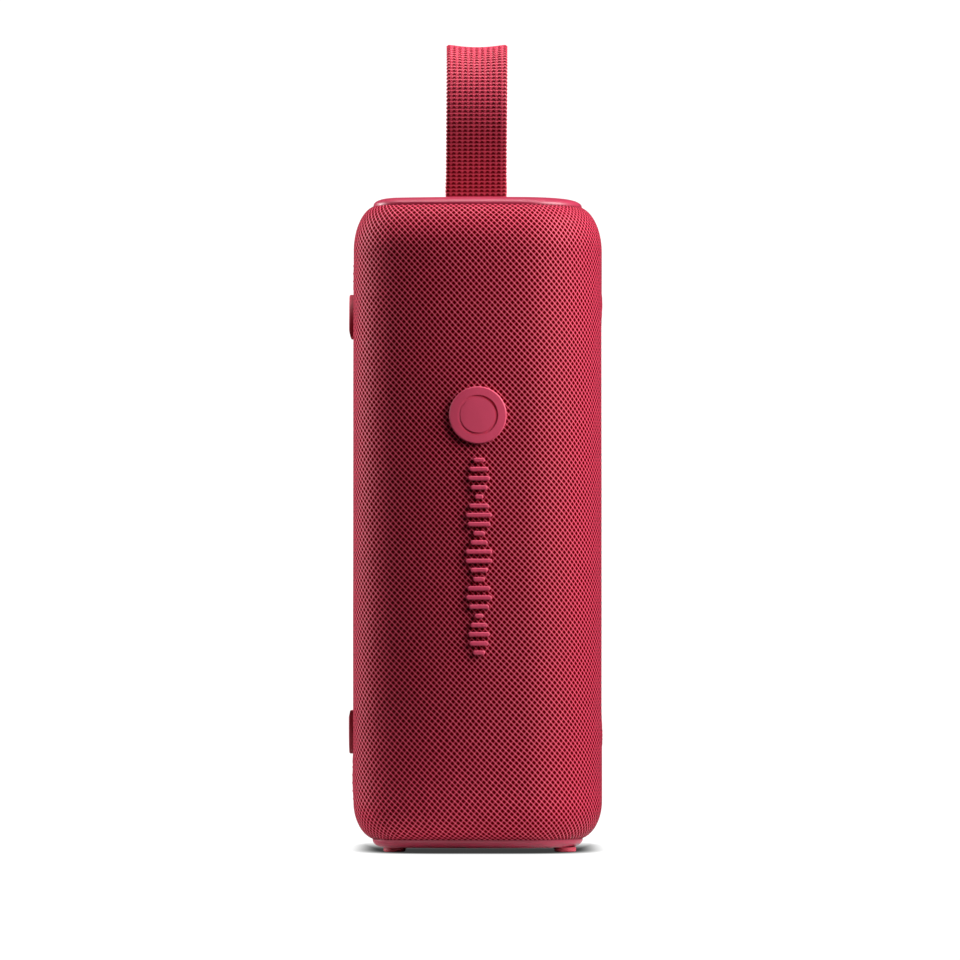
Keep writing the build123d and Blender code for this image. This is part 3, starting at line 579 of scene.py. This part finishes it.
def rise_profile(step):
    """The sleeve's side view in even steps: each rung's place, outward normal and distance up the cloth."""
    count = 6000
    z0, z1 = FABRIC_Z
    heights = [z0 + (z1 - z0) * i / count for i in range(count + 1)]
    fine = [(soften(z), z) for z in heights]
    along = [0.0]
    for a, b in zip(fine, fine[1:]):
        along.append(along[-1] + hypot(b[0] - a[0], b[1] - a[1]))
    rows = round(along[-1] / step)
    rungs = []
    k = 0
    for row in range(rows + 1):
        d = along[-1] * row / rows
        while k < count - 1 and along[k + 1] < d:
            k += 1
        t = (d - along[k]) / (along[k + 1] - along[k])
        run = fine[k + 1][0] - fine[k][0]
        climb = fine[k + 1][1] - fine[k][1]
        size = hypot(run, climb)
        rungs.append(Rung(fine[k][0] + run * t, fine[k][1] + climb * t, climb / size, run / size, d))
    return rungs


PROFILE = rise_profile(SLEEVE_STEP)
ROWS = len(PROFILE)
PITCH = ROUND / SLEEVE_COLUMNS
CLIMB = PROFILE[-1].distance / (ROWS - 1)
# On the straight side, the distance up the cloth is the height plus this.
STRAIGHT_OFFSET = [rung.distance - rung.z for rung in PROFILE if 20 < rung.z < 190][0]


def side_distance(d, side):
    """Signed distance round the section from the middle of a side."""
    middle = ROUND / 2 if side > 0 else 0
    return (d - middle + ROUND / 2) % ROUND - ROUND / 2


def window_distance(across, z, window):
    """Distance outside a window's edge, and its direction."""
    _, z_mid, length, width = window
    r = width / 2 + WINDOW_GAP
    straight = length / 2 + WINDOW_GAP - r
    up = z - z_mid
    over = up - max(min(up, straight), -straight)
    reach = hypot(across, over)
    if reach < 1e-9:
        return -r, (1, 0)
    return reach - r, (across / reach, over / reach)


def nearest_window(d, z):
    """Distance outside the nearest window's edge and its direction, or far away if none is on this side."""
    found = [(99, (1, 0))]
    for window in WINDOWS:
        across = side_distance(d, window[0])
        if abs(across) < 30:
            found.append(window_distance(across, z, window))
    return min(found)


def sleeve_puff(d, z):
    """How far the cloth stands proud of the shell under it."""
    left = side_distance(d, -1)
    right = side_distance(d, 1)
    puff = -0.10
    # it bulges past both ends of the left strip, and a little all along the right side
    puff += 0.62 * bell(left, 9) * bell(z - 24, 8.5)
    puff += 0.38 * bell(left, 9) * bell(z - 190, 6)
    puff += 0.12 * bell(right, 12)
    # slow unevenness, and a welt round the windows
    x, y, _, _ = section_at(d)
    puff += 0.07 * noise.noise(Vector((x / 24, y / 24, z / 30)))
    puff += 0.22 * bell(nearest_window(d, z)[0] - 1.2, 1.1)
    # all of it fades out where the cap and the base hold the cloth
    return puff * min(1, (z - FABRIC_Z[0]) / 6 + 0.1) * min(1, (FABRIC_Z[1] - z) / 6 + 0.1)


def cloth_point(d, v, depth):
    """A point of the cloth, from its distances round and up and its depth under the outer face."""
    t = min(max(v / CLIMB, 0), ROWS - 1)
    low = min(int(t), ROWS - 2)
    t -= low
    inset, z, out, up, _ = (a + (b - a) * t for a, b in zip(PROFILE[low], PROFILE[low + 1]))
    x, y, nx, ny = section_at(d)
    proud = sleeve_puff(d, z) - depth
    rise = proud * out - inset
    return x + nx * rise, y + ny * rise, z + proud * up


def grid(column, row):
    """The number of a point of the sleeve's grid, which closes round the body."""
    return (column % SLEEVE_COLUMNS) * ROWS + row


def snap_to_windows(at, window_rim):
    """Moves the grid's points along the windows onto the windows' edges."""
    for k in window_rim:
        d, v = at[k]
        distance, direction = nearest_window(d, v - STRAIGHT_OFFSET)
        at[k] = [d - direction[0] * distance, v - direction[1] * distance]


def ease(at, movable, used):
    """Evens out the spacing of some of the grid's points."""
    for _ in range(6):
        moved = {}
        for k in movable:
            i, j = divmod(k, ROWS)
            around = [grid(i + 1, j), grid(i - 1, j), grid(i, j + 1), grid(i, j - 1)]
            around = [n for n in around if n in used]
            dd = sum((at[n][0] - at[k][0] + ROUND / 2) % ROUND - ROUND / 2 for n in around)
            dv = sum(at[n][1] - at[k][1] for n in around)
            moved[k] = [at[k][0] + 0.5 * dd / len(around), at[k][1] + 0.5 * dv / len(around)]
        for k, value in moved.items():
            at[k] = value


def make_sleeve():
    """The woven sleeve: two faces of cloth and the turned edges round its ends and windows."""
    spots = [(i * PITCH, rung) for i in range(SLEEVE_COLUMNS) for rung in PROFILE]
    at = [[d, rung.distance] for d, rung in spots]
    gap = [nearest_window(d, rung.z)[0] for d, rung in spots]
    quads = []
    for i in range(SLEEVE_COLUMNS):
        for j in range(ROWS - 1):
            quad = [grid(i, j), grid(i + 1, j), grid(i + 1, j + 1), grid(i, j + 1)]
            if all(gap[k] >= -0.5 * PITCH for k in quad):
                quads.append(quad)
    used = {k for quad in quads for k in quad}
    sides = [side for quad in quads for side in zip(quad, quad[1:] + quad[:1])]
    paired = set(sides)
    rim = [(a, b) for a, b in sides if (b, a) not in paired]
    ends = {grid(i, j) for i in range(SLEEVE_COLUMNS) for j in (0, ROWS - 1)}
    window_rim = {k for side in rim for k in side} - ends
    snap_to_windows(at, window_rim)
    ease(at, [k for k in sorted(used - window_rim) if -0.6 * PITCH < gap[k] < 4.5], used)

    points, cells, faces = [], [], []

    def add(d, v, depth, v_cell=None):
        points.append(cloth_point(d, v, depth))
        along = v if v_cell is None else v_cell
        cells.append(((d % ROUND) / ROUND * SECTION_CELLS, along / SLEEVE_ROW))
        return len(points) - 1

    def turned_edge(k):
        """The points from the outer face round the edge to the inner one."""
        d, v = at[k]
        ring = [outer[k]]
        for reach, depth in TURNED_EDGE:
            if k in ends:
                side = -1 if k % ROWS == 0 else 1
                ring.append(add(d, v + side * reach * 0.3, depth, v))
            else:
                _, direction = nearest_window(d, v - STRAIGHT_OFFSET)
                ring.append(add(d - direction[0] * reach, v - direction[1] * reach, depth))
        return ring + [inner[k]]

    outer = {k: add(*at[k], 0.0) for k in sorted(used)}
    inner = {k: add(*at[k], FABRIC_T) for k in sorted(used)}
    for quad in quads:
        faces.append([outer[k] for k in quad])
        faces.append([inner[k] for k in reversed(quad)])
    rings = {}
    for side in rim:
        for k in side:
            if k not in rings:
                rings[k] = turned_edge(k)
    for a, b in rim:
        strips = list(zip(rings[a], rings[b]))
        for (a0, b0), (a1, b1) in zip(strips, strips[1:]):
            faces.append([b0, a0, a1, b1])
    sleeve = mesh_piece("sleeve", "sleeve_fabric", points, faces, cells, (SECTION_CELLS, None))
    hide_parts("fabric_sleeve")
    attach(sleeve, "root")


def make_stitches():
    """Small bars of thread across the butt seam on the left side."""
    spans = ((9.0, 27.5), (188.0, 206.0))
    spacing = 2.6
    around = 8
    steps = 8
    points, cells, faces = [], [], []
    for z0, z1 in spans:
        count = round((z1 - z0) / spacing)
        for n in range(count + 1):
            v = z0 + (z1 - z0) * n / count + STRAIGHT_OFFSET
            base = len(points)
            for s in range(steps + 1):
                t = s / steps
                across = -1.15 + 2.3 * t
                slant = 0.45 * (t - 0.5)
                bow = 0.20 * sin(pi * t) ** 0.5 - 0.22
                r = 0.24 * (0.55 + 0.45 * sin(pi * t))
                for c in range(around):
                    angle = 2 * pi * c / around
                    points.append(cloth_point(across, v + slant + r * cos(angle), -bow - r * sin(angle)))
                    cells.append((t, c / around))
            for s in range(steps):
                for c in range(around):
                    a = base + s * around + c
                    b = base + s * around + (c + 1) % around
                    faces.append([a, b, b + around, a + around])
            faces.append([base + c for c in reversed(range(around))])
            faces.append([base + steps * around + c for c in range(around)])
    piece = mesh_piece("seam_stitches", "sleeve_fabric", points, faces, cells)
    piece.data.materials[0] = materials["sewing_thread"]
    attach(piece, "root")


# ---- Strap ----------------------------------------------------------------------------
def wave_distance(phase):
    """0 where a phase is whole, 1 halfway between."""
    return abs((phase + 0.5) % 1 - 0.5) * 2


def smooth_closed(path, rounds):
    """Rounds off a closed path's corners."""
    for _ in range(rounds):
        path = [
            tuple((a[n] + 2 * b[n] + c[n]) / 4 for n in range(2))
            for a, b, c in zip(path[-1:] + path[:-1], path, path[1:] + path[:1])
        ]
    return path


def resample_closed(path, step):
    """A closed path's points at even steps, and its length."""
    lengths = [hypot(b[0] - a[0], b[1] - a[1]) for a, b in zip(path, path[1:] + path[:1])]
    total = sum(lengths)
    count = round(total / step)
    found = []
    k, done = 0, 0.0
    for n in range(count):
        d = total * n / count
        while done + lengths[k] < d:
            done += lengths[k]
            k += 1
        t = (d - done) / lengths[k]
        a, b = path[k], path[(k + 1) % len(path)]
        found.append((a[0] + (b[0] - a[0]) * t, a[1] + (b[1] - a[1]) * t))
    return found, total


def oval(centre, half_sizes, start, end, steps):
    """Points from one angle of an oval to another."""
    angles = [start + (end - start) * n / steps for n in range(steps + 1)]
    return [(centre[0] + half_sizes[0] * cos(a), centre[1] + half_sizes[1] * sin(a)) for a in angles]


def strap_path():
    """The webbing's middle line in the side view: round the pin, up the slot and round the loop."""
    half = STRAP_T / 2 + 0.02
    pin = PIN_R + half
    # the two legs touch the oval where they would touch a circle of its depth, with heights shrunk to suit
    stretch = LOOP_SIZE[1] / LOOP_SIZE[0]
    rise = (LOOP_CENTRE[1] - STRAP_HINGE_Z) / stretch
    middle = atan2(rise, LOOP_CENTRE[0])
    side = asin((LOOP_SIZE[0] - half) / hypot(LOOP_CENTRE[0], rise))
    slot_z = (PIN_Z + 3.4, STRAP_HINGE_Z - 1.2)
    path = oval((0, PIN_Z), (pin, pin), 0, -pi, 24)
    path += [(-half, z) for z in slot_z]
    path += oval(LOOP_CENTRE, LOOP_SIZE, middle + pi / 2 + side, middle - pi / 2 - side, 60)
    path += [(half, z) for z in reversed(slot_z)]
    path, _ = resample_closed(path, 0.25)
    return smooth_closed(path, 10)


def part_way(z, start, height):
    """0 below a start, 1 above its height, and even between."""
    return min(max((z - start) / height, 0), 1)


def make_strap():
    """The webbing as one closed loop, with its weave's rows and ribs in relief above the slot."""
    path, total = resample_closed(strap_path(), 0.25)
    rows = round(total / ROW)
    row = total / rows
    path, total = resample_closed(path, row / 5)
    count = len(path)
    points, cells = [], []
    for n, (y, z) in enumerate(path):
        before, after = path[n - 1], path[(n + 1) % count]
        ty, tz = after[0] - before[0], after[1] - before[1]
        size = hypot(ty, tz)
        ny, nz = -tz / size, ty / size
        phase = total * n / count / row
        # the weave stands in relief only above the slot, and the webbing curls only over the loop's top
        free = part_way(z, 215, 3)
        top = part_way(z, 250, 14)
        top = top * top * (3 - 2 * top)
        # the edges are scalloped row by row, and the neck is a little wider
        scallop = 0.13 * cos(2 * pi * phase) * free
        half_w = STRAP_W / 2 - 0.12 + scallop + 0.12 * bell(z - 218, 4) * free
        middle = STRAP_X - 0.15 + 0.3 * part_way(z, 216, 40)
        for side in (1, -1):
            for c in range(STRAP_COLUMNS):
                t = side * (2 * c / (STRAP_COLUMNS - 1) - 1)
                x = half_w * t
                edge = sqrt(max(1 - abs(t) ** 14, 0))
                # grooves between the arched rows, deepest where they cross those between the ribs
                rib_phase = x / RIB
                arch = phase - 0.13 * cos(2 * pi * rib_phase)
                groove = 0.5 + 0.5 * cos(pi * wave_distance(arch))
                between = 0.5 + 0.5 * cos(pi * wave_distance(rib_phase))
                relief = groove * (0.24 + 0.16 * between) * free
                depth = (STRAP_T / 2 - relief) * (0.25 + 0.75 * edge)
                curl = top * (t * t - 0.4) * free
                off = side * depth + curl
                points.append((middle + x, y + ny * off, z + nz * off))
                cells.append((rib_phase, phase))
    faces = []
    per_ring = 2 * STRAP_COLUMNS
    for n in range(count):
        low = n * per_ring
        high = ((n + 1) % count) * per_ring
        for c in range(per_ring):
            d = (c + 1) % per_ring
            faces.append([low + c, high + c, high + d, low + d])
    strap = mesh_piece("strap_webbing", "strap_webbing", points, faces, cells, (None, rows))
    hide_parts("strap_loop", "strap_tab")
    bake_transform(strap)


make_sleeve()
make_stitches()
make_strap()


# ---- Stage, lights and camera ---------------------------------------------------------
FLOOR_HALF = 8.0
PAINTED_SHADOW_SCALE = (26.7, 16.5, 0)  # one over the shadow's half sizes, in metres
PAINTED_SHADOW_SHIFT = (0, -0.42, 0)  # puts its middle a little behind the object's
PAINTED_SHADOW_DARK = 0.045
WHITE = 1.1  # a little over full white, so that it shows as plain white


def make_floor():
    """A pale floor with a painted soft shadow that the camera sees and a bounce that lights the object."""
    size = FLOOR_HALF
    corners = [(-size, -size, 0), (size, -size, 0), (size, size, 0), (-size, size, 0)]
    mesh = bpy.data.meshes.new("floor")
    mesh.from_pydata(corners, [], [(0, 1, 2, 3)])
    floor_piece = bpy.data.objects.new("floor", mesh)
    bpy.context.scene.collection.objects.link(floor_piece)
    material = bpy.data.materials.new("floor_white")
    g = Nodes(material)
    at = g.object_coords()
    # painted shadow: the floor the camera sees is darkened round and under the base, fading out behind it
    spread = g.stretch(at, PAINTED_SHADOW_SCALE, PAINTED_SHADOW_SHIFT)
    reach = g.vector_math("LENGTH", g.vector_math("MULTIPLY", spread, spread))
    shade = g.smooth(reach, 0.76, 1.36, PAINTED_SHADOW_DARK, WHITE)
    _, y, _ = g.split(at)
    behind = g.ramp(y, 0.0, 0.11, PAINTED_SHADOW_DARK, WHITE, "SMOOTHERSTEP")
    seen = g.add("ShaderNodeEmission")
    g.put(seen.inputs["Strength"], g.math("MAXIMUM", shade, behind))
    # light that the floor throws back, strongest close to the base
    bounce = g.add("ShaderNodeBsdfDiffuse")
    g.put(bounce.inputs["Color"], g.ramp(reach, 1.0, 3.4, 0.8, 0.04))
    from_camera = g.add("ShaderNodeLightPath").outputs["Is Camera Ray"]
    output = g.add("ShaderNodeOutputMaterial")
    g.put(output.inputs["Surface"], g.mix_shaders(from_camera, bounce.outputs[0], seen.outputs[0]))
    mesh.materials.append(material)


def make_world():
    """White where the camera looks past the object, and a faint even light on the object."""
    world = bpy.data.worlds.new("studio")
    bpy.context.scene.world = world
    g = Nodes(world)
    white = g.add("ShaderNodeBackground")
    dim = g.add("ShaderNodeBackground")
    for background, strength in ((white, WHITE), (dim, 0.02)):
        g.fill(background.inputs, ((1, 1, 1, 1), strength))
    from_camera = g.add("ShaderNodeLightPath").outputs["Is Camera Ray"]
    output = g.add("ShaderNodeOutputWorld")
    g.put(output.inputs["Surface"], g.mix_shaders(from_camera, dim.outputs[0], white.outputs[0]))


def area_light(name, azimuth, elevation, distance, size, power):
    """A rectangular lamp that faces the object. Azimuth 0 is the front and 90 the right."""
    data = bpy.data.lights.new(name, "AREA")
    data.shape = "RECTANGLE"
    data.size, data.size_y = size
    data.energy = power
    lamp = bpy.data.objects.new(name, data)
    bpy.context.scene.collection.objects.link(lamp)
    a, e = radians(azimuth), radians(elevation)
    target = Vector((0, 0, 0.115))
    lamp.location = target + distance * Vector((sin(a) * cos(e), -cos(a) * cos(e), sin(e)))
    lamp.rotation_euler = (target - lamp.location).to_track_quat("-Z", "Y").to_euler()


def make_camera():
    """A long lens 2.1 m in front of the object and 69 mm above the floor, tilted up a little."""
    data = bpy.data.cameras.new("camera")
    data.lens = 238.2
    data.sensor_width = 36.0
    data.clip_start = 0.1
    data.clip_end = 50.0
    camera = bpy.data.objects.new("camera", data)
    bpy.context.scene.collection.objects.link(camera)
    camera.location = (0.0007, -2.1, 0.0694)
    camera.rotation_euler = (radians(90 + 1.443), 0, 0)
    bpy.context.scene.camera = camera


make_floor()
make_world()
area_light("key", 70, 31, 0.9, (0.6, 0.7), 18.5)
area_light("left", -101, 18, 0.9, (0.12, 0.8), 13.5)
area_light("top", 0, 87, 0.8, (0.6, 0.35), 5.5)
make_camera()
bpy.context.scene.view_settings.view_transform = "Standard"
